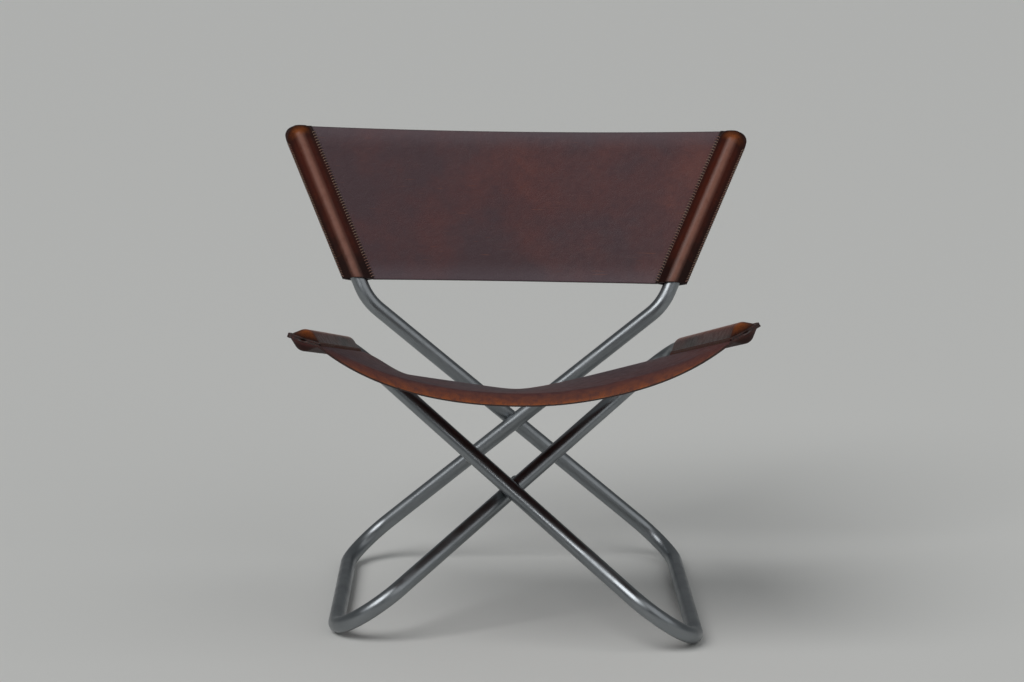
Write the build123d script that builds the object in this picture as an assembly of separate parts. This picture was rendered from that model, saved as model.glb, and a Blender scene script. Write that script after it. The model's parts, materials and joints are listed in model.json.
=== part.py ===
"""Folding sling lounge chair: two bent steel tubes that cross like scissors, with a
stitched leather seat and a stitched leather back carried on the tubes' upper ends.

Frame: +X is the sitter's left as seen from the front of the chair, -Y is the front,
+Z is up. The origin lies on the floor, midway between the floor rails.
"""
from build123d import *
from math import radians, sin, tan
import os

# ---- driving dimensions, in millimetres ----
TUBE = 25.0                 # outside diameter of the frame tube
WALL = 2.0                  # wall of the frame tube
FRAME_BEND = 76.0           # centre line radius at the floor corners and below the back
SEAT_BEND = 50.0            # centre line radius at the rear of the seat
FLOOR_HALF_WIDTH = 270.0    # centre plane to the centre line of a floor rail
FLOOR_FRONT = -318.0        # corner points along Y, before the outer and inner frame part
FLOOR_REAR = 315.0
SEAT_REAR = {"outer": (258.0, 144.4, 387.6), "inner": (247.0, 134.7, 379.7)}  # seat bend corner
BACK_LOW = (241.0, 244.0, 445.0)       # corner under the back: half width, Y, height
BACK_TOP = (361.0, 345.0, 713.0)       # top of an upright
SEAT_TIP = {"outer": (305.0, -360.0, 481.0), "inner": (318.5, -360.0, 497.0)}
FRONT_PITCH = 45.0          # spacing of the two front legs along Y where they cross
REAR_PITCH = 29.0           # spacing of the two rear legs along Y where they cross

# ---- leather ----
LEATHER = 3.0               # thickness of one layer
SLEEVE_GAP = 0.3            # slack between leather and tube, and between two layers
FLANGE = 24.0               # tube centre line to the stitched edge of a sleeve
BACK_MOUTH = 38.0           # lower edge of the back above the corner of the upright
BACK_OVERHANG = 8.0         # leather above the top of an upright
BACK_CORNER = 28.0          # outer top corner radius of the back
SEAT_OVERHANG = 8.0         # leather in front of the tube's tip
SEAT_CORNER = 6.0           # outer front corner radius of a seat sleeve
SEAT_END = 45.0             # Y of the rear edge of the seat
SEAT_TILT = {"outer": 18.0, "inner": 30.0}     # slope of the stitched seat flanges, degrees
SEAT_SAG = (84.0, 56.0)     # sling depth below its stitched edges, front and rear
SEAT_FULLNESS = (0.08, -0.12)          # how square the sling's curve is, front and rear
SEAT_STATIONS = 5           # cross sections that shape the seat sling
HALF_POINTS = 6             # steps from the middle of a cross section to its edge
SLING_SLOPE = 0.9           # cosine of the sling's slope, which thickens its upright section
BACK_LAP = 1.0              # how far the back's middle reaches into its sleeves' flanges
SEAT_LAP = 1.5              # and the seat's

# ---- end plugs and pivots ----
PLUG_STEM = 18.0            # length of a plug inside the tube
PLUG_SLACK = 0.2            # a plug's dome is this much smaller than the tube, all round
PLUG_PRESS = 0.05           # room left round a plug's stem
PIN = 8.0                   # pivot bolt shank diameter
PIN_PLAY = 0.05             # radial running clearance of the bolt in its bush
BUSH = 11.0                 # outside diameter of the pivot bush
BOSS = 15.0                 # diameter of the bosses, washers and spacer on the pivots
WASHER = 1.5                # thickness of the thrust washer between the two frames
HEAD = 14.0                 # bolt head diameter
HEAD_HEIGHT = 4.5
HEAD_ROUND = 1.6            # rounding of the head's rim
SOCKET = 5.0                # hexagon socket across flats
SOCKET_DEPTH = 2.5
NUT = 13.0                  # diameter of the round nut inside a tube
NUT_HALF_LENGTH = 5.0
PLAY = 0.1                  # axial play on the pivots, and room round a pressed piece
SADDLE_RIM = 2.0            # thinnest part of a saddle washer's rim
OVERRUN = 1.0               # how far a bar that cuts or joins a piece passes its face

RADIUS = TUBE / 2
BORE = RADIUS - WALL
SLEEVE = RADIUS + SLEEVE_GAP
RUNNING = PIN + 2 * PIN_PLAY
NODES = {}


# ---- frame tubes ----
def frame_points(frame):
    """Corner points of one frame's centre line, from the top of the back to the seat tip."""
    side = 1 if frame == "outer" else -1
    front = side * FRONT_PITCH / 2
    rear = side * REAR_PITCH / 2
    seat, tip = SEAT_REAR[frame], SEAT_TIP[frame]
    return [
        Vector(-side * BACK_TOP[0], BACK_TOP[1] + rear, BACK_TOP[2]),
        Vector(-side * BACK_LOW[0], BACK_LOW[1] + rear, BACK_LOW[2]),
        Vector(side * FLOOR_HALF_WIDTH, FLOOR_REAR + rear, RADIUS),
        Vector(side * FLOOR_HALF_WIDTH, FLOOR_FRONT - front, RADIUS),
        Vector(-side * seat[0], seat[1] - front, seat[2]),
        Vector(-side * tip[0], tip[1], tip[2]),
    ]


def centre_line(corners, radii):
    """Straight runs joined by arcs, as one wire."""
    edges = []
    start = corners[0]
    for before, corner, after, radius in zip(corners, corners[1:], corners[2:], radii):
        back = (before - corner).normalized()
        ahead = (after - corner).normalized()
        half_angle = radians(back.get_angle(ahead)) / 2
        reach = radius / tan(half_angle)
        middle = corner + (back + ahead).normalized() * (radius / sin(half_angle) - radius)
        edges.append(Line(start, corner + back * reach))
        edges.append(ThreePointArc(corner + back * reach, middle, corner + ahead * reach))
        start = corner + ahead * reach
    edges.append(Line(start, corners[-1]))
    return Wire(edges)


def rod(start, end, diameter):
    """A round bar between two points."""
    run = end - start
    plane = Plane(origin=start, z_dir=run.normalized())
    return extrude(plane * Circle(diameter / 2), run.length)


def leg_rod(frame, leg, diameter):
    """A bar on the centre line of a crossing leg, longer than the leg itself."""
    corners = frame_points(frame)
    first, last = (corners[1], corners[2]) if leg == "rear" else (corners[3], corners[4])
    return rod(first, last, diameter)


def frame_tube(frame):
    """The bent tube of one frame, open at both ends, drilled for its two pivots."""
    corners = frame_points(frame)
    up = (corners[0] - corners[1]).normalized()
    forward = (corners[-1] - corners[-2]).normalized()
    corners[0] = corners[0] - up * RADIUS
    corners[-1] = corners[-1] - forward * RADIUS
    path = centre_line(corners, [FRAME_BEND, FRAME_BEND, FRAME_BEND, SEAT_BEND])
    start = Plane(origin=corners[0], z_dir=-up)
    tube = sweep(start * Circle(RADIUS), path=path)
    tube -= sweep(start * Circle(BORE), path=path)
    return tube


def end_plug(tip, direction):
    """Half round plastic plug pressed into an open tube end."""
    plane = Plane(origin=tip - direction * RADIUS, z_dir=direction)
    stem = Pos(0, 0, -PLUG_STEM / 2) * Cylinder(BORE - PLUG_PRESS, PLUG_STEM)
    dome = Sphere(RADIUS - PLUG_SLACK) - Pos(0, 0, -RADIUS) * Box(2 * TUBE, 2 * TUBE, TUBE)
    return plane.location * (stem + dome)


# ---- pivots ----
def crossing(leg):
    """Points where the outer and the inner leg pass the centre plane."""
    points = []
    for frame in ("outer", "inner"):
        corners = frame_points(frame)
        first, last = (corners[2], corners[1]) if leg == "rear" else (corners[3], corners[4])
        share = first.X / (first.X - last.X)
        points.append(first + (last - first) * share)
    return points


FRONT_CENTRE = sum(crossing("front"), Vector(0, 0, 0)) / 2
REAR_CENTRE = sum(crossing("rear"), Vector(0, 0, 0)) / 2
PIVOT_AXIS = (REAR_CENTRE - FRONT_CENTRE).normalized()


def along(centre, distance):
    return centre + PIVOT_AXIS * distance


def on_pivot(centre, start, end, diameter):
    """A round bar on the pivot axis between two distances from a crossing's centre."""
    return rod(along(centre, start), along(centre, end), diameter)


def ring_on_pivot(centre, start, end, outside, inside):
    hole = on_pivot(centre, start - OVERRUN, end + OVERRUN, inside)
    return on_pivot(centre, start, end, outside) - hole


def half_chord(frame, leg, spread=0.0):
    """How far a leg reaches along the pivot axis, at a distance sideways from the axis."""
    corners = frame_points(frame)
    first, last = (corners[1], corners[2]) if leg == "rear" else (corners[3], corners[4])
    angle = radians((last - first).get_angle(PIVOT_AXIS))
    return RADIUS / sin(angle) + abs(spread / tan(angle))


def pivot_parts(tubes, leg, screwed, turning):
    """Bolt, nut, bush and saddle washer of one crossing, and the holes they need.

    The bolt is screwed into a nut hidden in the `screwed` frame's tube. The other frame
    turns on it, and a washer shaped to its far side carries the bolt head. Distances run
    along the pivot axis from the middle of the crossing, the screwed leg's being negative.
    """
    centre = FRONT_CENTRE if leg == "front" else REAR_CENTRE
    far = (FRONT_PITCH if leg == "front" else REAR_PITCH) / 2
    seat = far + half_chord(turning, leg, BOSS / 2) + SADDLE_RIM
    top = seat + PLAY + HEAD_HEIGHT

    shank = on_pivot(centre, -far - NUT_HALF_LENGTH, top - OVERRUN, PIN)
    bolt = shank + on_pivot(centre, seat + PLAY, top, HEAD)
    rim = bolt.edges().filter_by(GeomType.CIRCLE).sort_by(
        lambda edge: (edge.center() - centre).dot(PIVOT_AXIS))[-1]
    socket_plane = Plane(origin=along(centre, top), z_dir=-PIVOT_AXIS)
    hexagon = RegularPolygon(SOCKET / 2, 6, major_radius=False)
    NODES[f"{leg}_pivot_bolt"] = fillet(rim, HEAD_ROUND) - extrude(socket_plane * hexagon, SOCKET_DEPTH)

    nut = ring_on_pivot(centre, -far - NUT_HALF_LENGTH, -far + NUT_HALF_LENGTH, NUT, PIN)
    NODES[f"{leg}_pivot_nut"] = nut & leg_rod(screwed, leg, 2 * (BORE - PLUG_PRESS))
    bush = ring_on_pivot(centre, far - TUBE, far + TUBE, BUSH, RUNNING)
    NODES[f"{leg}_pivot_bush"] = bush & leg_rod(turning, leg, TUBE)
    saddle = ring_on_pivot(centre, far, seat, BOSS, RUNNING) - leg_rod(turning, leg, TUBE)
    NODES[f"{leg}_saddle_washer"] = farthest_piece(saddle, centre, 1)
    tubes[screwed] -= on_pivot(centre, -far, 0, PIN + PLAY)
    tubes[turning] -= on_pivot(centre, far - TUBE, far + TUBE, BUSH + PLAY)
    return centre, far


def farthest_piece(shape, centre, sign):
    """The solid that lies farthest along the pivot axis."""
    return sorted(shape.solids(), key=lambda s: sign * (s.center() - centre).dot(PIVOT_AXIS))[-1]


def make_pivots(tubes):
    # The front legs lean back, so flat bosses on both tubes give them square faces to turn on.
    centre, far = pivot_parts(tubes, "front", "outer", "inner")
    face = WASHER / 2 + PLAY
    for frame, sign in (("outer", 1), ("inner", -1)):
        ends = sorted((-sign * far, -sign * face))
        boss = ring_on_pivot(centre, *ends, BOSS, RUNNING) - leg_rod(frame, "front", TUBE)
        NODES[f"front_{frame}_boss"] = farthest_piece(boss, centre, sign)
    NODES["front_thrust_washer"] = ring_on_pivot(centre, -WASHER / 2, WASHER / 2, BOSS, RUNNING)

    # The rear legs stand square to the axis and turn on one spacer shaped to the inner leg.
    centre, far = pivot_parts(tubes, "rear", "inner", "outer")
    stop = far - half_chord("outer", "rear", BOSS / 2) - SLEEVE_GAP
    spacer = ring_on_pivot(centre, -far, stop, BOSS, RUNNING) - leg_rod("inner", "rear", TUBE)
    NODES["rear_spacer"] = farthest_piece(spacer, centre, 1)


# ---- leather ----
def sleeve_plane(corner, tip, inward):
    """Plane of a sleeve's seam: origin on the corner, X inward, Y along the tube, Z up."""
    run = (tip - corner).normalized()
    across = (inward - run * inward.dot(run)).normalized()
    normal = across.cross(run)
    return Plane(origin=corner, x_dir=across, z_dir=normal)


def sleeve_half(plane, outline, tip_distance, above):
    """One leather layer of a sleeve: a flange with a half round channel and domed end."""
    sign = 1 if above else -1
    start = 0.0 if above else -SLEEVE_GAP
    outside = SLEEVE + LEATHER
    body = Pos(0, 0, start) * extrude(outline, sign * LEATHER)
    limits = extrude(Pos(0, 0, start) * outline, sign * TUBE)
    body += round_bar(tip_distance, outside) & limits
    return plane.location * (body - round_bar(tip_distance, SLEEVE))


def round_bar(tip_distance, radius):
    """Bar round a tube's centre line along Y, with a half ball where the tube's plug is."""
    length = tip_distance - RADIUS + FRAME_BEND
    bar = Pos(0, -FRAME_BEND, 0) * Rot(-90, 0, 0) * extrude(Circle(radius), length)
    return bar + Pos(0, tip_distance - RADIUS, 0) * Sphere(radius)


def rounded_outline(points, corner, radius):
    """Closed outline with one rounded corner."""
    face = make_face(Polyline(*points, close=True))
    vertex = face.vertices().sort_by_distance(corner)[0]
    return fillet(vertex, radius)


def back_side(frame):
    """Seam plane and flange outline of the back on one frame's upright."""
    top, low = frame_points(frame)[:2]
    other_low = frame_points("inner" if frame == "outer" else "outer")[1]
    inward = other_low - low
    plane = sleeve_plane(low, top, inward)
    chord = inward.normalized()
    slope = chord.dot(plane.y_dir) / chord.dot(plane.x_dir)
    length = (top - low).length
    upper = length + BACK_OVERHANG
    points = [
        (-FLANGE, BACK_MOUTH - FLANGE * slope),
        (FLANGE, BACK_MOUTH + FLANGE * slope),
        (FLANGE, upper + FLANGE * slope),
        (-FLANGE, upper - FLANGE * slope),
    ]
    outline = rounded_outline(points, points[3], BACK_CORNER)
    return plane, outline, length, slope


def seat_side(frame):
    """Seam plane and flange outline of the seat on one frame's rail."""
    corner, tip = frame_points(frame)[-2:]
    side = 1 if corner.X < 0 else -1
    inward = Vector(side * 1.0, 0, -tan(radians(SEAT_TILT[frame])))
    plane = sleeve_plane(corner, tip, inward)
    length = (tip - corner).length
    run = (tip - corner).normalized()
    rear = (SEAT_END - corner.Y) / run.Y
    front = length + SEAT_OVERHANG
    points = [(-FLANGE, rear), (FLANGE, rear), (FLANGE, front), (-FLANGE, front)]
    outline = rounded_outline(points, points[3], SEAT_CORNER)
    return plane, outline, length, rear, front


def sling_top(plane):
    """True where the sitter's side of a seam plane is its positive side."""
    return plane.z_dir.Z > 0


def flange_edge(plane, distance, depth):
    """Point on the inner edge of a sleeve, at a depth below the seam plane."""
    sign = -1 if sling_top(plane) else 1
    return plane.origin + plane.x_dir * FLANGE + plane.y_dir * distance + plane.z_dir * (sign * depth)


def sling_section(left, right, share):
    """Closed cross section of the seat sling between two stitched edges."""
    sag = SEAT_SAG[0] + (SEAT_SAG[1] - SEAT_SAG[0]) * share
    fullness = SEAT_FULLNESS[0] + (SEAT_FULLNESS[1] - SEAT_FULLNESS[0]) * share

    def curve(drop):
        points = []
        for step in range(-HALF_POINTS, HALF_POINTS + 1):
            across = step / HALF_POINTS
            dip = sag * (1 - across**2) * (1 + fullness * across**2)
            spot = left + (right - left) * ((across + 1) / 2)
            points.append(spot - Vector(0, 0, dip + drop))
        return points

    upper, lower = curve(0), curve(LEATHER / SLING_SLOPE)
    edges = [Spline(*upper), Line(upper[-1], lower[-1]), Spline(*lower[::-1]), Line(lower[0], upper[0])]
    return Face(Wire(edges))


def make_leather():
    sheets = []
    for frame, side in (("outer", "right"), ("inner", "left")):
        plane, outline, length, slope = back_side(frame)
        # The seam plane's positive side faces backwards on one upright and forwards on the other.
        front_is_up = plane.z_dir.Y < 0
        NODES[f"back_strip_{side}"] = sleeve_half(plane, outline, length, front_is_up)
        sheets.append((plane, sleeve_half(plane, outline, length, not front_is_up), length, slope))

    # Flat sheet of the back between the two sleeves.
    corners = []
    for plane, sleeve, length, slope in sheets:
        sign = 1 if plane.z_dir.Y > 0 else -1
        low = BACK_MOUTH + FLANGE * slope
        high = length + BACK_OVERHANG + FLANGE * slope
        edge = plane.origin + plane.x_dir * (FLANGE - BACK_LAP)
        inner_face = sign * SLEEVE_GAP
        outer_face = sign * (SLEEVE_GAP + LEATHER)
        corners.append([
            edge + plane.y_dir * low + plane.z_dir * inner_face,
            edge + plane.y_dir * high + plane.z_dir * inner_face,
            edge + plane.y_dir * high + plane.z_dir * outer_face,
            edge + plane.y_dir * low + plane.z_dir * outer_face,
        ])
    ends = [Face(Wire.make_polygon(points)) for points in corners]
    sheet = Solid.make_loft([end.outer_wire() for end in ends], ruled=True)
    NODES["back_panel"] = sheets[0][1] + sheets[1][1] + sheet

    halves = {}
    for frame, side in (("outer", "right"), ("inner", "left")):
        plane, outline, length, rear, front = seat_side(frame)
        up = sling_top(plane)
        NODES[f"seat_strip_{side}"] = sleeve_half(plane, outline, length, up)
        halves[frame] = (plane, sleeve_half(plane, outline, length, not up), rear, front)

    sections = []
    for step in range(SEAT_STATIONS):
        share = step / (SEAT_STATIONS - 1)
        edges = []
        for frame in ("outer", "inner"):
            plane, sleeve, rear, front = halves[frame]
            distance = front + (rear - front) * share
            edges.append(flange_edge(plane, distance, SLEEVE_GAP) - plane.x_dir * SEAT_LAP)
        sections.append(sling_section(edges[0], edges[1], share))
    sling = Solid.make_loft([section.outer_wire() for section in sections])
    NODES["seat_panel"] = halves["outer"][1] + halves["inner"][1] + sling


def main():
    tubes = {frame: frame_tube(frame) for frame in ("outer", "inner")}
    make_pivots(tubes)
    for frame, tube in tubes.items():
        corners = frame_points(frame)
        NODES[f"{frame}_frame_tube"] = tube
        up = (corners[0] - corners[1]).normalized()
        forward = (corners[-1] - corners[-2]).normalized()
        NODES[f"{frame}_back_plug"] = end_plug(corners[0], up)
        NODES[f"{frame}_seat_plug"] = end_plug(corners[-1], forward)
    make_leather()
    os.makedirs("parts", exist_ok=True)
    for name, shape in NODES.items():
        shape.label = name
        export_step(shape, f"parts/{name}.step")


if __name__ == "__main__":
    main()
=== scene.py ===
"""Folding sling lounge chair: leather, stitching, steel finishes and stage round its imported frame."""
import json
from math import acos, atan2, cos, hypot, pi, radians, sin, sqrt, tan

import bmesh
import bpy
import numpy as np
from bpy.props import FloatProperty, FloatVectorProperty, PointerProperty, StringProperty
from bpy.types import Operator, Panel, PropertyGroup
from mathutils import Matrix, Vector, noise


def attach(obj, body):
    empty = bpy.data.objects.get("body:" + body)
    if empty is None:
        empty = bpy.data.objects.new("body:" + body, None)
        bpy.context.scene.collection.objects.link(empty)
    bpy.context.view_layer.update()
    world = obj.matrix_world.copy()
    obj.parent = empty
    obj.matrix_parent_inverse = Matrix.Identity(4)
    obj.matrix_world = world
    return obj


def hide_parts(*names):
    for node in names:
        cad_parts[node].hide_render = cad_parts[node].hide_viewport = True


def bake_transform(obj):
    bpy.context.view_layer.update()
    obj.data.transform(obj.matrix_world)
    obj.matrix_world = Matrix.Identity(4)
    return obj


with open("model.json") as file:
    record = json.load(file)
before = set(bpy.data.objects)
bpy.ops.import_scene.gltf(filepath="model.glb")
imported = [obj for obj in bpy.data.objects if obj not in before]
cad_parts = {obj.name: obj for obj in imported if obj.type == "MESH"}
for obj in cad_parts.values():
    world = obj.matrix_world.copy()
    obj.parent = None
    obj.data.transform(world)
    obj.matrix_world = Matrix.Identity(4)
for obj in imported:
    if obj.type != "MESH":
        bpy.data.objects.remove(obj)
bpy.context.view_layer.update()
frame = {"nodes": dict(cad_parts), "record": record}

bl_info = {
    "name": "Sling Lounge Chair",
    "version": (1, 0, 0),
    "blender": (4, 5, 0),
    "location": "3D View > Sidebar > Sling Chair",
    "description": "Leather, stitching, finishes and stage for a folding sling lounge chair",
    "category": "Object",
}

OUTER, INNER = "outer_frame", "inner_frame"
TUBE_RADIUS = 0.0125        # half the frame tube's outside diameter
BALL_GAP = 0.0002           # the end plugs' balls are this much smaller than the tube
CHAIR_MIDDLE = np.array([0, 0.2, 0.3])  # a place inside the chair, which all tube ends point away from


# ---- what the frame says ----
def tube_end(plug):
    """Tip of a tube's rounded end and the direction it points in, from its turned end plug."""
    corners = np.array([corner.co for corner in frame["nodes"][plug].data.vertices])
    corners = np.unique(corners.round(5), axis=0)
    middle = corners.mean(0)
    spreads, axes = np.linalg.eigh(np.cov((corners - middle).T))
    # The spreads across the axis are alike, so the axis belongs to the odd one out.
    odd = 2 if spreads[2] - spreads[1] > spreads[1] - spreads[0] else 0
    axis = axes[:, odd]
    outward = 1 if axis @ (middle - CHAIR_MIDDLE) > 0 else -1
    axis = axis * outward
    tip = middle + axis * ((corners - middle) @ axis).max()
    return Vector(tip) + Vector(axis) * BALL_GAP, Vector(axis)


class Sleeve:
    """Place of one leather sleeve: a tube's rounded end and the plane of the seam round it.

    Places on it are given as a distance across the tube, towards the other sleeve, a distance
    past the centre of the tube's end ball, and a height over the seam, on the strip's side.
    """

    def __init__(self, side, plug, toward, facing):
        tip, self.along = tube_end(plug)
        self.side = side
        self.ball = tip - self.along * TUBE_RADIUS
        self.inward = (toward - self.along * toward.dot(self.along)).normalized()
        normal = self.inward.cross(self.along)
        self.normal = normal if normal.dot(facing) > 0 else -normal

    def spot(self, across, past, height):
        return self.ball + self.inward * across + self.along * past + self.normal * height


SIDES = {"right": "outer", "left": "inner"}       # the sitter's side, and the frame under it
BODIES = {"right": OUTER, "left": INNER}


def back_sleeves():
    tips = {side: tube_end(f"{SIDES[side]}_back_plug")[0] for side in SIDES}
    chord = tips["left"] - tips["right"]
    front = Vector((0, -1, 0))
    return {
        "right": Sleeve("right", "outer_back_plug", chord, front),
        "left": Sleeve("left", "inner_back_plug", -chord, front),
    }


def seat_sleeves():
    size = leather()
    up = Vector((0, 0, 1))
    return {
        "right": Sleeve("right", "outer_seat_plug", Vector((1, 0, -tan(size.seat_tilt_right))), up),
        "left": Sleeve("left", "inner_seat_plug", Vector((-1, 0, -tan(size.seat_tilt_left))), up),
    }


# ---- settings ----
def length(name, description, default):
    return FloatProperty(name=name, description=description, default=default, unit="LENGTH", precision=5)


def slope(name, description, default):
    return FloatProperty(name=name, description=description, default=default, subtype="ANGLE")


def ratio(name, description, default):
    return FloatProperty(name=name, description=description, default=default, subtype="FACTOR", min=0.0)


def colour(name, description, default):
    return StringProperty(name=name, description=description + ", as an sRGB hex code", default=default)


class LeatherSizes(PropertyGroup):
    """Sizes of the leather."""

    thickness: length("Thickness", "Thickness of one layer", 0.003)
    slack: length("Slack", "Room between leather and tube", 0.0003)
    flange: length("Flange", "Tube centre line to a sleeve's stitched edge", 0.024)
    seam: length("Seam", "Width of the flat seam along a sleeve's edge", 0.0035)
    back_height: length("Back height", "Mouth of a back sleeve to the tube's tip", 0.2726)
    back_overhang: length("Back overhang", "Leather above the tube's tip", 0.008)
    back_corner: length("Back corner", "Radius of the back's outer top corners", 0.028)
    back_dip: length("Back dip", "How far the top edge dips at its middle", 0.0055)
    back_bow: length("Back bow", "How far the back bellies to the rear", 0.006)
    seat_end: length("Seat end", "Y of the seat's rear edge on the tubes", 0.045)
    seat_overhang: length("Seat overhang", "Leather in front of the tube's tip", 0.008)
    seat_corner: length("Seat corner", "Radius of the seat's outer front corners", 0.006)
    seat_tilt_right: slope("Right seat tilt", "Slope of the right sleeve's seam", radians(18))
    seat_tilt_left: slope("Left seat tilt", "Slope of the left sleeve's seam", radians(30))
    front_sag: length("Front sag", "Sling depth near its front edge", 0.073)
    rear_sag: length("Rear sag", "Sling depth at its rear edge", 0.0565)
    front_curve: ratio("Front curve", "Power of the sling's curve in front", 2.1)
    rear_curve: ratio("Rear curve", "Power of the sling's curve behind", 1.2)
    knee: ratio("Knee", "Share of the rear rise that is in the turn beside the right sleeve", 0.42)
    notch: ratio("Notch", "Half width of the rounded middle, as a share of the half span", 0.07)
    lip_drop: length("Lip drop", "How far the seat's front edge curls down", 0.016)
    lip_depth: length("Lip depth", "Depth of the curled front edge", 0.040)
    ripple: length("Ripple", "Height of the leather's slow waves", 0.0012)


class ThreadSizes(PropertyGroup):
    """Sizes of the whip stitches."""

    radius: length("Radius", "Half the thread's thickness", 0.00045)
    pitch: length("Pitch", "Distance from stitch to stitch", 0.0048)
    bite: length("Bite", "Stitch holes to the leather's edge", 0.0036)
    step: length("Step", "Strip's inner edge to the holes in the panel", 0.0025)


class Finishes(PropertyGroup):
    """Colours of the finishes."""

    panel: colour("Panel", "Waxed panel leather", "#4F2829")
    panel_patch: colour("Panel patch", "Paler patches of the panels", "#5E2F2A")
    panel_bruise: colour("Panel bruise", "Dark bluish patches of the panels", "#40282E")
    bloom: colour("Bloom", "Waxy haze along the back's edges", "#6A6068")
    strip: colour("Strip", "Wet-formed strip leather", "#48190C")
    # Painted highlight along a strip's crest, partly rubbed polish.
    strip_crest_highlight: colour("Strip crest", "Polished crest of a strip", "#966A5C")
    # Painted shade on a strip's sides beside the tube; also the colour of pores and of the strips' dark
    # patches.
    strip_crease_shade_and_pores: colour("Strip crease", "Dark crease beside the tube", "#200904")
    # Rubbed leather; over the strips' rounded ends also a painted highlight.
    worn_and_lit: colour("Worn", "Rubbed leather", "#9A5325")
    flesh: colour("Flesh side", "Waxed flesh side of the leather", "#301712")
    rim: colour("Cut edge", "Burnished cut edges", "#140906")
    thread: colour("Thread", "Waxed linen thread", "#9E8673")
    soiled_thread: colour("Soiled thread", "The seat's thread, dark from the sitter's legs", "#4A3024")
    steel: colour("Steel", "Satin stainless steel", "#898D90")
    smudge: colour("Smudge", "Handled patches of the steel", "#797D80")
    plastic: colour("Plastic", "Moulded nylon", "#141414")
    floor: colour("Floor", "Pale studio floor", "#E4E4E1")


class StageSettings(PropertyGroup):
    """Camera and lights."""

    camera_place: FloatVectorProperty(name="Camera place", description="Where the camera stands",
                                      default=(-0.0573, -4.1589, 1.1172), subtype="TRANSLATION")
    pitch: FloatProperty(name="Pitch", description="How far the camera looks down",
                         default=radians(9.492), subtype="ANGLE")
    yaw: FloatProperty(name="Yaw", description="How far the camera turns left",
                       default=radians(-0.70), subtype="ANGLE")
    roll: FloatProperty(name="Roll", description="How far the camera leans",
                        default=radians(0.587), subtype="ANGLE")
    lens: FloatProperty(name="Lens", description="Focal length in millimetres on a 36 mm wide sensor",
                        default=95.8)
    floor_radius: length("Floor radius", "Radius of the round floor", 40.0)
    room_light: FloatProperty(name="Room light", description="Strength of the even light of the room",
                              default=0.25)
    room_colour: colour("Room colour", "Even light of the room", "#D2D6D8")
    key_light: FloatProperty(name="Key light", description="Strength of the light from the left",
                             default=1.5)
    fill_light: FloatProperty(name="Fill light", description="Strength of the light from the right",
                              default=0.5)


def leather():
    return bpy.context.scene.chair_leather


def thread():
    return bpy.context.scene.chair_thread


def finishes():
    return bpy.context.scene.chair_finishes


# ---- materials ----
def linear(code):
    """Linear colour of an sRGB hex code."""
    channels = [int(code[start:start + 2], 16) / 255 for start in (1, 3, 5)]
    return [c / 12.92 if c <= 0.04045 else ((c + 0.055) / 1.055) ** 2.4 for c in channels] + [1.0]


def add(tree, kind, inputs=None, **settings):
    """Adds a node. Inputs are values, or other nodes' output sockets, by socket name or number."""
    made = tree.nodes.new(kind)
    for name, value in settings.items():
        setattr(made, name, value)
    for name, value in (inputs or {}).items():
        if isinstance(value, bpy.types.NodeSocket):
            tree.links.new(value, made.inputs[name])
        else:
            made.inputs[name].default_value = value
    return made


def new_material(name):
    """An empty material with a Principled shader."""
    material = bpy.data.materials.new(name)
    material.use_nodes = True
    return material, material.node_tree, material.node_tree.nodes["Principled BSDF"]


MIX_A, MIX_B, MIX_RESULT = 6, 7, 2        # colour sockets of a Mix node


def blended(tree, share, first, second, blend="MIX"):
    """Colour between two others."""
    return add(tree, "ShaderNodeMix", {0: share, MIX_A: first, MIX_B: second},
               data_type="RGBA", blend_type=blend).outputs[MIX_RESULT]


def between(tree, value, low, high, to_low=0.0, to_high=1.0):
    """A value's smooth rise from one limit to another."""
    return add(tree, "ShaderNodeMapRange", {0: value, 1: low, 2: high, 3: to_low, 4: to_high},
               interpolation_type="SMOOTHSTEP").outputs[0]


def combined(tree, operation, first, second):
    """Sum or product of two values."""
    return add(tree, "ShaderNodeMath", {0: first, 1: second}, operation=operation).outputs[0]


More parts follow.
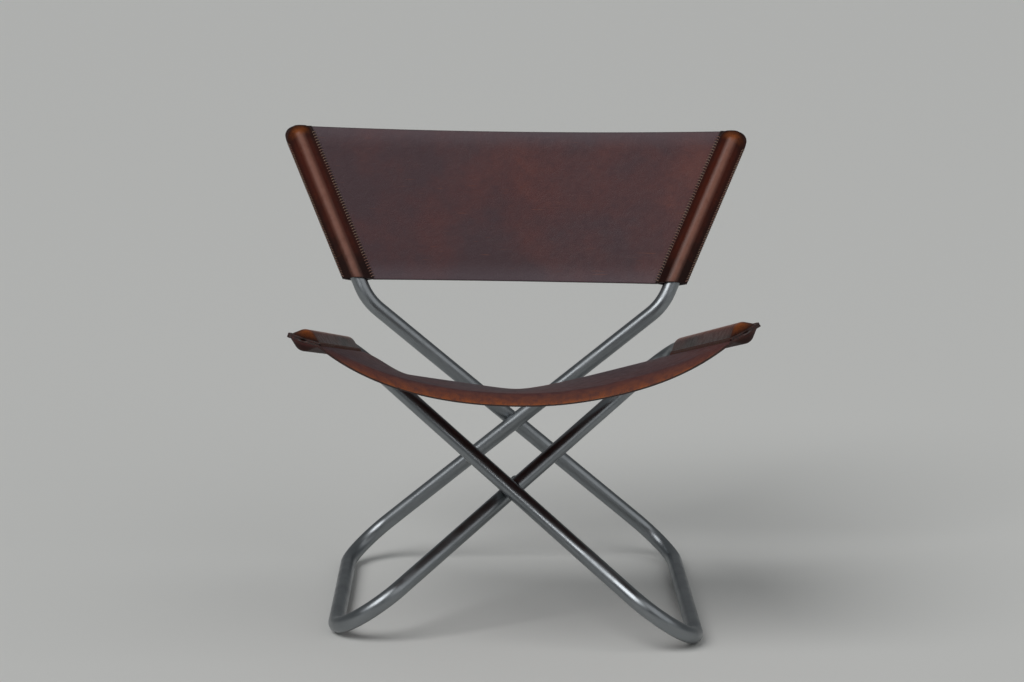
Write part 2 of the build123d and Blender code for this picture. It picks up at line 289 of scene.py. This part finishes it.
def waxed_leather(name, base, patch, bruise, rough, shine, bloom=None, crest=None, crease=None, grain=1.0):
    """Vegetable-tanned saddle leather, waxed and rubbed: cloudy colour, fine grain, soft gloss.

    A panel's edges may have a bloom of wax. Over a tube: painted highlight on the crest, painted shade on the
    sides.
    """
    look = finishes()
    material, tree, shader = new_material(name)
    cut = add(tree, "ShaderNodeUVMap", uv_map="cut").outputs[0]

    # Clouds of 200 mm and 15 mm, where oil and handling have darkened or bleached the hide.
    clouds = add(tree, "ShaderNodeTexNoise", {"Vector": cut, "Scale": 5.0, "Detail": 5.0, "Roughness": 0.6})
    mottle = add(tree, "ShaderNodeTexNoise", {"Vector": cut, "Scale": 65.0, "Detail": 8.0, "Roughness": 0.7})
    tone = blended(tree, between(tree, clouds.outputs[0], 0.40, 0.60), linear(bruise), linear(base))
    tone = blended(tree, between(tree, clouds.outputs[0], 0.56, 0.72), tone, linear(patch))
    tone = blended(tree, between(tree, mottle.outputs[0], 0.48, 0.72, 0.0, 0.45), tone, linear(bruise))
    rim = add(tree, "ShaderNodeAttribute", attribute_name="edge").outputs["Fac"]
    if bloom:
        # Wax has bloomed in a pale haze 40 mm wide along the cut edges.
        tone = blended(tree, between(tree, rim, 0.040, 0.002, 0.0, 0.30), tone, linear(bloom))
    # Pores and follicles of 1 mm show as dark flecks.
    flecks = add(tree, "ShaderNodeTexNoise", {"Vector": cut, "Scale": 900.0, "Detail": 3.0, "Roughness": 0.6})
    dark = between(tree, flecks.outputs[0], 0.50, 0.70, 0.0, 0.5)
    tone = blended(tree, dark, tone, linear(look.strip_crease_shade_and_pores))
    if crest:
        # Painted highlight along the crest of leather formed over the tube, partly rubbed polish;
        # painted shade on its sides and in the hollows by the seam.
        height = add(tree, "ShaderNodeAttribute", attribute_name="crest").outputs["Fac"]
        rubbed = between(tree, mottle.outputs[0], 0.35, 0.60, 0.75, 1.0)
        # Two painted highlights, broad and narrow, broken up by the mottle.
        for low, share in ((0.70, 0.35), (0.90, 0.62)):
            painted_highlight = combined(tree, "MULTIPLY", between(tree, height, low, 1.03, 0.0, share), rubbed)
            tone = blended(tree, painted_highlight, tone, linear(crest))
        # Painted shade: darker down the strip's sides towards the seam.
        tone = blended(tree, between(tree, height, 0.60, 0.10, 0.0, 0.6), tone, linear(crease))

    # Short scuffs tenths of a millimetre wide, drawn at 2 mm so that they show.
    long_way = add(tree, "ShaderNodeMapping",
                   {"Vector": cut, "Rotation": (0, 0, 0.4), "Scale": (22, 420, 1)})
    scuffs = add(tree, "ShaderNodeTexNoise", {"Vector": long_way.outputs[0], "Scale": 1.0, "Detail": 2.0})
    scuffed = between(tree, scuffs.outputs[0], 0.68, 0.78, 0.0, 0.28)
    tone = blended(tree, scuffed, tone, linear(look.worn_and_lit))
    tone = blended(tree, between(tree, rim, 0.0018, 0.0006, 0.0, 0.6), tone, linear(look.rim))
    # Wear, and a painted highlight over the strips' rounded ends, in the worn colour.
    wear_and_light = add(tree, "ShaderNodeAttribute", attribute_name="wear_and_light").outputs["Fac"]
    patchy = combined(tree, "ADD", mottle.outputs[0], flecks.outputs[0])
    worn_and_lit = combined(tree, "MULTIPLY", wear_and_light, between(tree, patchy, 0.85, 1.2, 1.0, 0.15))
    tone = blended(tree, worn_and_lit, tone, linear(look.worn_and_lit))
    tree.links.new(tone, shader.inputs["Base Color"])

    # Grain cells of about 1.2 mm with pores between them.
    cells = add(tree, "ShaderNodeTexVoronoi", {"Vector": cut, "Scale": 820.0}, feature="SMOOTH_F1")
    pores = add(tree, "ShaderNodeTexNoise", {"Vector": cut, "Scale": 1500.0, "Detail": 2.0})
    heights = combined(tree, "ADD", cells.outputs[0], pores.outputs[0])
    fine = add(tree, "ShaderNodeBump", {"Height": heights, "Strength": 0.35 * grain, "Distance": 0.0003})
    slow = add(tree, "ShaderNodeBump", {"Height": mottle.outputs[0], "Strength": 0.25, "Distance": 0.002,
                                        "Normal": fine.outputs[0]})
    tree.links.new(slow.outputs[0], shader.inputs["Normal"])
    gloss = between(tree, mottle.outputs[0], 0.3, 0.7, rough - 0.06, rough + 0.10)
    tree.links.new(gloss, shader.inputs["Roughness"])
    shader.inputs["IOR"].default_value = 1.5
    shader.inputs["Specular IOR Level"].default_value = shine
    return material


def burnished_edge(name):
    """Cut edge of saddle leather, sealed and rubbed smooth: near black brown with a dull shine."""
    material, tree, shader = new_material(name)
    place = add(tree, "ShaderNodeTexCoord").outputs["Object"]
    fibres = add(tree, "ShaderNodeTexNoise", {"Vector": place, "Scale": 600.0, "Detail": 3.0})
    look = finishes()
    tone = blended(tree, between(tree, fibres.outputs[0], 0.35, 0.75), linear(look.rim), linear(look.strip))
    tree.links.new(tone, shader.inputs["Base Color"])
    bump = add(tree, "ShaderNodeBump", {"Height": fibres.outputs[0], "Strength": 0.3, "Distance": 0.0003})
    tree.links.new(bump.outputs[0], shader.inputs["Normal"])
    shader.inputs["Roughness"].default_value = 0.45
    return material


def flesh_side(name):
    """Flesh side of saddle leather, slicked with wax: fibrous and matte, darkened to near black with painted
    shade where it bulges round the tubes.
    """
    look = finishes()
    material, tree, shader = new_material(name)
    cut = add(tree, "ShaderNodeUVMap", uv_map="cut").outputs[0]
    clouds = add(tree, "ShaderNodeTexNoise", {"Vector": cut, "Scale": 14.0, "Detail": 5.0})
    fibres = add(tree, "ShaderNodeTexNoise", {"Vector": cut, "Scale": 900.0, "Detail": 4.0, "Roughness": 0.7})
    tone = blended(tree, between(tree, clouds.outputs[0], 0.35, 0.65), linear(look.flesh), linear(look.panel))
    speck = between(tree, fibres.outputs[0], 0.45, 0.75, 0.0, 0.25)
    tone = blended(tree, speck, tone, linear(look.worn_and_lit))
    # Painted shade: darker where the leather bulges round the tubes.
    height = add(tree, "ShaderNodeAttribute", attribute_name="crest").outputs["Fac"]
    tone = blended(tree, between(tree, height, 0.05, 0.5, 0.0, 0.75), tone, linear(look.strip_crease_shade_and_pores))
    rim = add(tree, "ShaderNodeAttribute", attribute_name="edge").outputs["Fac"]
    tone = blended(tree, between(tree, rim, 0.003, 0.0004, 0.0, 0.7), tone, linear(look.rim))
    tree.links.new(tone, shader.inputs["Base Color"])
    bump = add(tree, "ShaderNodeBump", {"Height": fibres.outputs[0], "Strength": 0.5, "Distance": 0.0004})
    tree.links.new(bump.outputs[0], shader.inputs["Normal"])
    shader.inputs["Roughness"].default_value = 0.62
    shader.inputs["Specular IOR Level"].default_value = 0.15
    return material


def waxed_thread(name, clean, soiled):
    """Linen thread pulled through wax: dulled and darkened by handling."""
    material, tree, shader = new_material(name)
    place = add(tree, "ShaderNodeTexCoord").outputs["Object"]
    soil = add(tree, "ShaderNodeTexNoise", {"Vector": place, "Scale": 60.0, "Detail": 4.0})
    tone = blended(tree, between(tree, soil.outputs[0], 0.40, 0.68), linear(clean), linear(soiled))
    tree.links.new(tone, shader.inputs["Base Color"])
    shader.inputs["Roughness"].default_value = 0.6
    return material


def satin_steel(name, rough):
    """Stainless steel rubbed to a satin finish: soft bright streaks, faint smudges."""
    material, tree, shader = new_material(name)
    place = add(tree, "ShaderNodeTexCoord").outputs["Object"]
    smudge = add(tree, "ShaderNodeTexNoise",
                 {"Vector": place, "Scale": 28.0, "Detail": 5.0, "Roughness": 0.6})
    sheen = between(tree, smudge.outputs[0], 0.35, 0.70, rough - 0.04, rough + 0.08)
    tree.links.new(sheen, shader.inputs["Roughness"])
    tone = blended(tree, between(tree, smudge.outputs[0], 0.45, 0.75, 0.0, 0.35), linear(finishes().steel),
                   linear(finishes().smudge))
    tree.links.new(tone, shader.inputs["Base Color"])
    shader.inputs["Metallic"].default_value = 1.0
    return material


def moulded_nylon(name):
    """Injection moulded nylon: black with a fine matte bloom."""
    material, tree, shader = new_material(name)
    place = add(tree, "ShaderNodeTexCoord").outputs["Object"]
    bloom = add(tree, "ShaderNodeTexNoise", {"Vector": place, "Scale": 700.0, "Detail": 3.0})
    tree.links.new(between(tree, bloom.outputs[0], 0.3, 0.7, 0.42, 0.6), shader.inputs["Roughness"])
    bump = add(tree, "ShaderNodeBump", {"Height": bloom.outputs[0], "Strength": 0.1, "Distance": 0.0002})
    tree.links.new(bump.outputs[0], shader.inputs["Normal"])
    shader.inputs["Base Color"].default_value = linear(finishes().plastic)
    return material


def studio_floor(name):
    """Painted studio floor, even and matte."""
    material, _tree, shader = new_material(name)
    shader.inputs["Base Color"].default_value = linear(finishes().floor)
    shader.inputs["Roughness"].default_value = 0.6
    return material


# ---- formed leather ----
class Form:
    """Cross section of a leather layer over a tube: round crown, straight shoulders, flat seam.

    It is for the middle of the layer. Distances run across the tube from its centre line, and
    heights from the seam between the two layers.
    """

    def __init__(self):
        size = leather()
        self.crown = TUBE_RADIUS + size.slack + size.thickness / 2
        self.flat = (size.thickness + size.slack) / 2
        self.foot = size.flange - size.seam
        reach = hypot(self.foot, self.flat)
        touch = acos(self.crown / reach) + atan2(self.flat, self.foot)
        self.join = self.crown * cos(touch)
        self.top = self.crown * sin(touch)
        self.over = self.crown * (pi / 2 - touch)
        self.shoulder = sqrt(reach ** 2 - self.crown ** 2)
        self.half = self.over + self.shoulder + size.seam

    def height(self, distance):
        if distance < self.join:
            return sqrt(self.crown ** 2 - distance ** 2)
        down = min(1.0, (distance - self.join) / (self.foot - self.join))
        return self.top + (self.flat - self.top) * down

    def across(self, strip):
        """Distance across the tube of a point this far along the leather from the crown."""
        way = abs(strip)
        if way < self.over:
            distance = self.crown * sin(way / self.crown)
        elif way < self.over + self.shoulder:
            distance = self.join + (self.foot - self.join) * (way - self.over) / self.shoulder
        else:
            distance = self.foot + way - self.over - self.shoulder
        return distance if strip > 0 else -distance


def end_line(across, end, corner):
    """How far past the ball the leather reaches, with its outer corner rounded."""
    from_edge = across + leather().flange
    if from_edge >= corner:
        return end
    return end - corner + sqrt(max(corner ** 2 - (corner - from_edge) ** 2, 0))


SLEEVE_COLUMNS = 48         # columns of squares round one sleeve
MIDDLE_COLUMNS = 72         # columns of squares between the sleeves
COARSE_ROW = 0.003          # spacing of the rows along the tube
FINE_ROW = 0.001            # and round its end ball, from FINE_START past the ball's centre
FINE_START = -0.016
CORNER_ROWS = 0.012         # rows squeezed together by a rounded corner
SQUARE_ROWS = 0.004         # straight rows left behind them
EDGE_ROUNDING = 0.0006      # softening of a cut edge
WAVES_ACROSS = 2.2          # slow waves in half a sheet's width
WAVES_ALONG = 9.0           # and in a metre of its length


class Layer:
    """Cut and grid of the leather round one pair of sleeves."""

    def __init__(self, sleeves, mouths, overhang, corner, slanted):
        self.sleeves = sleeves
        self.mouths = mouths
        self.form = Form()
        self.end = TUBE_RADIUS + overhang
        self.corner = corner
        self.coarse_rows = round((FINE_START - mouths["right"]) / COARSE_ROW)
        self.fine_rows = round((self.end - FINE_START) / FINE_ROW)
        self.slope = {}
        chord = sleeves["left"].ball - sleeves["right"].ball
        for side, sleeve in sleeves.items():
            run = chord if side == "right" else -chord
            self.slope[side] = run.dot(sleeve.along) / run.dot(sleeve.inward) if slanted else 0.0

    @property
    def rows(self):
        return self.coarse_rows + self.fine_rows

    def past(self, side, share):
        """Distance past the ball's centre of a row, before the corner is rounded."""
        row = share * self.rows
        mouth = self.mouths[side]
        if row <= self.coarse_rows:
            return mouth + (FINE_START - mouth) * row / self.coarse_rows
        return FINE_START + (self.end - FINE_START) * (row - self.coarse_rows) / self.fine_rows

    def on_sleeve(self, side, strip, share, face):
        """Spot, flat place, distance to the cut edge and height share of a corner on a sleeve."""
        sleeve = self.sleeves[side]
        across = self.form.across(strip)
        past = self.past(side, share)
        rounded = end_line(across, self.end, self.corner)
        start = self.end - max(self.corner, CORNER_ROWS) - SQUARE_ROWS
        if past > start:
            past = start + (past - start) * (rounded - start) / (self.end - start)
        limit = min(leather().flange + across, rounded - past, past - self.mouths[side])
        past += self.slope[side] * across
        height = self.form.height(hypot(across, max(past, 0.0)))
        crest = (height - self.form.flat) / (self.form.crown - self.form.flat)
        return sleeve.spot(across, past, face * height), (strip, past), limit, crest


def make_sheet(name, columns, rows, place, materials, facing):
    """A leather sheet from a grid, and the width, length and area of its cut.

    place(across, along), each from 0 to 1, gives a corner's spot, flat place, distance to the
    cut edge, crest, and wear with a painted highlight. The grain side looks along `facing`.
    """
    shape = bmesh.new()
    bmesh.ops.create_grid(shape, x_segments=columns, y_segments=rows, size=0.5)
    cut = shape.loops.layers.uv.new("cut")
    marks = [shape.verts.layers.float.new(mark) for mark in ("edge", "crest", "wear_and_light")]
    flat = {}
    for corner in shape.verts:
        spot, flat[corner], *values = place(corner.co.x + 0.5, corner.co.y + 0.5)
        corner.co = spot
        for mark, value in zip(marks, values):
            corner[mark] = value
    for face in shape.faces:
        face.smooth = True
        for loop in face.loops:
            loop[cut].uv = flat[loop.vert]
    shape.normal_update()
    lean = sum((face.normal * face.calc_area() for face in shape.faces), Vector())
    if lean.dot(facing) < 0:
        bmesh.ops.reverse_faces(shape, faces=shape.faces)
    places = np.array(list(flat.values()))
    wide, long = places.max(0) - places.min(0)
    area = sum(face.calc_area() for face in shape.faces)
    return finish_sheet(name, shape, materials), (wide, long, area)


def finish_sheet(name, shape, materials):
    """Turns a sheet's grid into an object with its thickness and softened cut edges."""
    mesh = bpy.data.meshes.new(name)
    shape.to_mesh(mesh)
    shape.free()
    piece = bpy.data.objects.new(name, mesh)
    bpy.context.collection.objects.link(piece)
    for material in materials:
        mesh.materials.append(material)
    wall = piece.modifiers.new("thickness", "SOLIDIFY")
    wall.thickness = leather().thickness
    wall.offset = 0
    wall.use_even_offset = True
    wall.material_offset = 1
    wall.material_offset_rim = 2
    rounding = piece.modifiers.new("softened edges", "BEVEL")
    rounding.width = EDGE_ROUNDING
    rounding.segments = 2
    rounding.limit_method = "ANGLE"
    rounding.angle_limit = radians(60)
    return piece


def strip_sheet(layer, side, name, materials, wear_and_light):
    """One strip: a sleeve's outer layer."""
    half = layer.form.half

    def place(across, along):
        strip = (2 * across - 1) * half
        spot, flat, limit, crest = layer.on_sleeve(side, strip, along, 1)
        return spot, flat, min(limit, half - strip), crest, wear_and_light(flat[1], crest)

    return make_sheet(name, SLEEVE_COLUMNS, layer.rows, place, materials, layer.sleeves[side].normal)


def panel_sheet(layer, name, materials, hang, wear_and_light, facing):
    """A panel: the inner layer of both sleeves and the sheet between them."""
    half = layer.form.half
    total = 2 * SLEEVE_COLUMNS + MIDDLE_COLUMNS

    def middle(share, along):
        start, right, limit, _crest = layer.on_sleeve("right", half, along, -1)
        stop, left, _limit, _crest = layer.on_sleeve("left", half, along, -1)
        past = right[1] + (left[1] - right[1]) * share
        return start.lerp(stop, share) + hang(2 * share - 1, past, along), past, limit

    def span_at(along):
        row = [middle(column / MIDDLE_COLUMNS, along)[0] for column in range(MIDDLE_COLUMNS + 1)]
        return sum((stop - start).length for start, stop in zip(row, row[1:]))

    low, high = span_at(0.0), span_at(1.0)

    def place(across, along):
        column = across * total
        span = low + (high - low) * along
        for side, sign, steps in (("right", -1, column), ("left", 1, total - column)):
            if steps <= SLEEVE_COLUMNS:
                strip = (2 * steps / SLEEVE_COLUMNS - 1) * half
                spot, flat, limit, crest = layer.on_sleeve(side, strip, along, -1)
                return spot, (sign * (span / 2 + half - strip), flat[1]), limit, crest, wear_and_light(1.0, flat[1])
        share = (column - SLEEVE_COLUMNS) / MIDDLE_COLUMNS
        spot, past, limit = middle(share, along)
        aside = 2 * share - 1
        return spot, (aside * span / 2, past), limit, 0.0, wear_and_light(aside, past)

    return make_sheet(name, total, layer.rows, place, materials, facing)


def waves(aside, past, seed):
    """Slow waves that fade out towards the sleeves."""
    fade = (1 - aside ** 2) * leather().ripple
    return fade * noise.noise(Vector((aside * WAVES_ACROSS, past * WAVES_ALONG, seed)))


def declare_leather(piece, cut, node):
    """Hides the CAD part that a leather sheet stands in for."""
    wide, long, area = cut
    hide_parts(node)


# ---- stitching ----
BEDDED = 0.3                # height of the thread's middle over the leather, as a share of its radius
OVER_EDGE = 0.0008          # where an outer stitch turns down, inside the leather's edge
AT_EDGE = 0.0004            # and an inner one


def thread_piece(name, points, material):
    """A round thread through a row of points, as a mesh."""
    strand = bpy.data.curves.new(name, "CURVE")
    strand.dimensions = "3D"
    strand.bevel_depth = thread().radius
    strand.bevel_resolution = 1
    strand.use_fill_caps = True
    spline = strand.splines.new("POLY")
    spline.points.add(len(points) - 1)
    for spot, point in zip(points, spline.points):
        point.co = (*spot, 1)
    guide = bpy.data.objects.new(name, strand)
    bpy.context.collection.objects.link(guide)
    bpy.context.view_layer.update()
    mesh = bpy.data.meshes.new_from_object(guide.evaluated_get(bpy.context.evaluated_depsgraph_get()))
    bpy.data.objects.remove(guide)
    bpy.data.curves.remove(strand)
    mesh.name = name
    mesh.materials.clear()
    mesh.materials.append(material)
    for polygon in mesh.polygons:
        polygon.use_smooth = True
    piece = bpy.data.objects.new(name, mesh)
    bpy.context.collection.objects.link(piece)
    return piece


def whip_stitches(name, sleeve, edge, start, stop, slant, material):
    """A thread that spirals over a sleeve's edge: edge is 'outer', over both layers' edges, or
    'inner', over the strip's edge into the panel."""
    size, sewing = leather(), thread()
    rim = size.flange
    bend = Form().height(rim - sewing.bite) + size.thickness / 2 + BEDDED * sewing.radius
    face = size.thickness + size.slack / 2 + BEDDED * sewing.radius
    # A turn's points: distance across the sleeve, height over the seam, share of the pitch.
    if edge == "outer":
        beyond = -rim - sewing.radius
        turn = [
            (-rim + sewing.bite, bend, 0.00),
            (-rim + OVER_EDGE, face, 0.42),
            (beyond, face * 0.6, 0.50),
            (beyond, -face * 0.6, 0.54),
            (-rim + OVER_EDGE, -face, 0.62),
            (-rim + sewing.bite, -bend, 1.00),
        ]
    else:
        near = rim + sewing.step
        turn = [
            (rim - sewing.bite, bend, 0.00),
            (rim - AT_EDGE, face, 0.40),
            (rim + sewing.radius, face * 0.55, 0.46),
            (near, sewing.radius, 0.60),
            (near, -face, 0.60),
            (rim - sewing.bite, -bend, 1.00),
        ]
    count = int((stop - start) / sewing.pitch)
    points = []
    for number in range(count):
        for across, height, share in turn:
            past = start + (number + share) * sewing.pitch
            points.append(sleeve.spot(across, past + slant * across, height))
    return thread_piece(name, points, material)


# ---- operators ----
RUBBED_LIP = 0.6            # how worn the sling's curled front edge is
RUBBED_RIM = 0.35           # more wear along the very rim
# The strips' wear over the tubes' rounded ends also holds a painted highlight.
BALL_WEAR_AND_LIGHT = 0.9           # how worn the strips are over the tubes' rounded ends
BALL_FROM = -0.004          # where that wear starts, past the ball's centre
BALL_OVER = 0.012           # and the length it grows over
FLAT_SIDES = 6              # power that keeps the lip's curl and wear off the sleeves
RIM_FALL = 12               # power of the wear along the rim
KNEE_START = 0.68           # where the sling turns up to the right sleeve, as a share of the half span
SEAM_START = 0.004          # a sleeve's mouth to its first stitch
SEAM_STOP = 0.003           # its last stitch to the end of the leather


def back_layer():
    size = leather()
    mouth = TUBE_RADIUS - size.back_height
    mouths = {side: mouth for side in SIDES}
    return Layer(back_sleeves(), mouths, size.back_overhang, size.back_corner, True)


def seat_layer():
    size = leather()
    sleeves = seat_sleeves()
    mouths = {side: (size.seat_end - sleeve.ball.y) / sleeve.along.y for side, sleeve in sleeves.items()}
    return Layer(sleeves, mouths, size.seat_overhang, size.seat_corner, False)


def found(name, make, *values, **more):
    """A material by name, made on its first use."""
    return bpy.data.materials.get(name) or make(name, *values, **more)


def panel_materials(part, bloom=None):
    look = finishes()
    return [
        found(f"waxed {part} leather", waxed_leather, look.panel, look.panel_patch, look.panel_bruise,
              0.44, 0.36, bloom=bloom),
        found("waxed flesh side", flesh_side),
        found("burnished leather edge", burnished_edge),
    ]


def strip_materials():
    look = finishes()
    return [
        found("wet-formed saddle leather", waxed_leather, look.strip, look.strip, look.strip_crease_shade_and_pores,
              0.32, 0.16, crest=look.strip_crest_highlight, crease=look.strip_crease_shade_and_pores, grain=0.4),
        found("waxed flesh side", flesh_side),
        found("burnished leather edge", burnished_edge),
    ]


class CHAIR_OT_back_panel(Operator):
    """Make the back's leather panel"""

    bl_idname = "chair.back_panel"
    bl_label = "Back panel"

    def execute(self, context):
        size = leather()
        layer = back_layer()

        def hang(aside, past, along):
            belly = size.back_bow * (1 - aside ** 2)
            dip = size.back_dip * (1 - aside ** 2) * along ** 3
            return Vector((0, belly + waves(aside, past, seed=3.1), -dip))

        piece, cut = panel_sheet(layer, "back_panel_leather", panel_materials("back", finishes().bloom), hang,
                                 lambda aside, past: 0.0, Vector((0, -1, 0)))
        declare_leather(piece, cut, "back_panel")
        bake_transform(piece)
        return {"FINISHED"}


class CHAIR_OT_seat_panel(Operator):
    """Make the seat's leather sling"""

    bl_idname = "chair.seat_panel"
    bl_label = "Seat panel"

    def execute(self, context):
        size = leather()
        layer = seat_layer()

        def hang(aside, past, along):
            front = min(1.0, (past - layer.mouths["right"]) / (layer.end - layer.mouths["right"]))
            sag = size.rear_sag + (size.front_sag - size.rear_sag) * front
            knee = size.knee if aside < 0 else 0.0
            rise, middle, edge = (hypot(reach, size.notch) ** size.rear_curve for reach in (aside, 0.0, 1.0))
            turn = max(0.0, (abs(aside) - KNEE_START) / (1 - KNEE_START))
            rear = (1 - knee) * (rise - middle) / (edge - middle) + knee * turn * turn * (3 - 2 * turn)
            rise = rear + (abs(aside) ** size.front_curve - rear) * front
            lip = max(0.0, 1 - (layer.end - past) / size.lip_depth)
            fall = sag * (1 - rise)
            fall += size.lip_drop * lip ** 2 * (1 - aside ** FLAT_SIDES)
            return Vector((0, 0, waves(aside, past, seed=7.7) - fall))

        def wear_and_light(aside, past):
            fade = max(0.0, 1 - (layer.end - past) / size.lip_depth)
            return (RUBBED_LIP * fade + RUBBED_RIM * fade ** RIM_FALL) * (1 - abs(aside) ** FLAT_SIDES)

        piece, cut = panel_sheet(layer, "seat_panel_leather", panel_materials("seat"), hang, wear_and_light,
                                 Vector((0, 0, 1)))
        declare_leather(piece, cut, "seat_panel")
        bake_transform(piece)
        return {"FINISHED"}


class CHAIR_OT_strips(Operator):
    """Make the four leather strips that close the sleeves"""

    bl_idname = "chair.strips"
    bl_label = "Strips"

    def execute(self, context):
        def rubbed(past, crest):
            """Worn, with a painted highlight, where the ball of the tube pushes the leather out."""
            return BALL_WEAR_AND_LIGHT * crest * max(0.0, min(1.0, (past - BALL_FROM) / BALL_OVER))

        for part, layer in (("back", back_layer()), ("seat", seat_layer())):
            for side, under in SIDES.items():
                node = f"{part}_strip_{side}"
                piece, cut = strip_sheet(layer, side, f"{node}_leather", strip_materials(), rubbed)
                declare_leather(piece, cut, node)
                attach(piece, BODIES[side])
        return {"FINISHED"}


class CHAIR_OT_stitches(Operator):
    """Sew the sleeves' edges with whip stitches"""

    bl_idname = "chair.stitches"
    bl_label = "Stitches"

    def execute(self, context):
        look = finishes()
        linen = {
            "back": found("waxed linen thread", waxed_thread, look.thread, look.strip_crest_highlight),
            "seat": found("soiled linen thread", waxed_thread, look.soiled_thread, look.strip),
        }
        for part, layer in (("back", back_layer()), ("seat", seat_layer())):
            for side, sleeve in layer.sleeves.items():
                for edge in ("outer", "inner"):
                    start = layer.mouths[side] + SEAM_START
                    stop = layer.end - (layer.corner if edge == "outer" else 0.0) - SEAM_STOP
                    name = f"{part}_{edge}_stitches_{side}"
                    piece = whip_stitches(name, sleeve, edge, start, stop, layer.slope[side], linen[part])
                    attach(piece, BODIES[side])
        return {"FINISHED"}


WELD = 0.00001              # corners of neighbouring facets lie closer together than this
CREASE = radians(40)        # a tube's edges that turn more than this stay sharp


def smooth_copy(node, material):
    """A frame tube with its facets merged, so that light runs smoothly along it."""
    shape = bmesh.new()
    shape.from_mesh(frame["nodes"][node].data)
    bmesh.ops.remove_doubles(shape, verts=shape.verts, dist=WELD)
    for face in shape.faces:
        face.smooth = True
        face.material_index = 0
    for edge in shape.edges:
        edge.smooth = len(edge.link_faces) == 2 and edge.calc_face_angle(0.0) < CREASE
    mesh = bpy.data.meshes.new(f"{node}_smooth")
    shape.to_mesh(mesh)
    shape.free()
    mesh.materials.append(material)
    piece = bpy.data.objects.new(f"{node}_smooth", mesh)
    bpy.context.collection.objects.link(piece)
    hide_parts(node)
    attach(piece, OUTER if node.startswith("outer") else INNER)


class CHAIR_OT_metal(Operator):
    """Finish the tubes, bolts, washers and plugs"""

    bl_idname = "chair.metal"
    bl_label = "Metal and plastic"

    def execute(self, context):
        tube = found("satin stainless tube", satin_steel, 0.34)
        turned = found("turned stainless fittings", satin_steel, 0.22)
        nylon = found("black moulded nylon", moulded_nylon)
        finish = {"steel_tube": tube, "steel_fittings": turned, "black_plastic": nylon, "bush_plastic": nylon}
        for part in frame["record"]["subparts"]:
            material = finish.get(part["material_slot"])
            if material is tube:
                smooth_copy(part["node"], tube)
            elif material:
                for slot in frame["nodes"][part["node"]].material_slots:
                    slot.material = material
        return {"FINISHED"}


def soft_light(name, place, spread, power):
    """A broad, even light from far away, in the direction of `place`."""
    lamp = bpy.data.lights.new(name, "SUN")
    lamp.angle = spread
    lamp.energy = power
    light = bpy.data.objects.new(name, lamp)
    light.location = place
    light.rotation_euler = (-Vector(place)).to_track_quat("-Z", "Y").to_euler()
    bpy.context.collection.objects.link(light)


class CHAIR_OT_stage(Operator):
    """Make the floor, lights, room and camera"""

    bl_idname = "chair.stage"
    bl_label = "Stage"

    def execute(self, context):
        stage = context.scene.chair_stage
        shape = bmesh.new()
        bmesh.ops.create_circle(shape, cap_ends=True, segments=96, radius=stage.floor_radius)
        mesh = bpy.data.meshes.new("floor")
        shape.to_mesh(mesh)
        shape.free()
        mesh.materials.append(studio_floor("painted studio floor"))
        floor = bpy.data.objects.new("floor", mesh)
        context.collection.objects.link(floor)

        room = bpy.data.worlds.new("room")
        room.use_nodes = True
        sky = room.node_tree.nodes["Background"]
        sky.inputs["Color"].default_value = linear(stage.room_colour)
        sky.inputs["Strength"].default_value = stage.room_light
        context.scene.world = room
        soft_light("key light", (-2.0, -2.4, 3.2), radians(40), stage.key_light)
        soft_light("fill light", (2.6, -2.2, 2.6), radians(60), stage.fill_light)

        camera = bpy.data.cameras.new("camera")
        camera.lens = stage.lens
        camera.sensor_width = 36.0
        camera.clip_end = 200.0
        view = bpy.data.objects.new("camera", camera)
        turn = (Matrix.Rotation(stage.yaw, 4, "Z") @ Matrix.Rotation(pi / 2 - stage.pitch, 4, "X")
                @ Matrix.Rotation(stage.roll, 4, "Z"))
        view.matrix_world = Matrix.Translation(stage.camera_place) @ turn
        context.collection.objects.link(view)
        context.scene.camera = view
        context.scene.view_settings.view_transform = "Standard"
        return {"FINISHED"}


class CHAIR_PT_build(Panel):
    """Lists the chair's pieces in the sidebar"""

    bl_label = "Sling lounge chair"
    bl_idname = "CHAIR_PT_build"
    bl_space_type = "VIEW_3D"
    bl_region_type = "UI"
    bl_category = "Sling Chair"

    def draw(self, context):
        for operator in OPERATORS:
            self.layout.operator(operator.bl_idname)
        for group in GROUPS:
            box = self.layout.box()
            settings = getattr(context.scene, group)
            for name in GROUPS[group].__annotations__:
                box.prop(settings, name)


OPERATORS = (
    CHAIR_OT_metal,
    CHAIR_OT_back_panel,
    CHAIR_OT_seat_panel,
    CHAIR_OT_strips,
    CHAIR_OT_stitches,
    CHAIR_OT_stage,
)
GROUPS = {
    "chair_leather": LeatherSizes,
    "chair_thread": ThreadSizes,
    "chair_finishes": Finishes,
    "chair_stage": StageSettings,
}


def register():
    for group, kind in GROUPS.items():
        bpy.utils.register_class(kind)
        setattr(bpy.types.Scene, group, PointerProperty(type=kind))
    for operator in OPERATORS:
        bpy.utils.register_class(operator)
    bpy.utils.register_class(CHAIR_PT_build)


def unregister():
    bpy.utils.unregister_class(CHAIR_PT_build)
    for operator in reversed(OPERATORS):
        bpy.utils.unregister_class(operator)
    for group, kind in GROUPS.items():
        delattr(bpy.types.Scene, group)
        bpy.utils.unregister_class(kind)


def main():
    register()
    bpy.ops.chair.metal()
    bpy.ops.chair.back_panel()
    bpy.ops.chair.seat_panel()
    bpy.ops.chair.strips()
    bpy.ops.chair.stitches()
    bpy.ops.chair.stage()


if __name__ == "__main__":
    main()
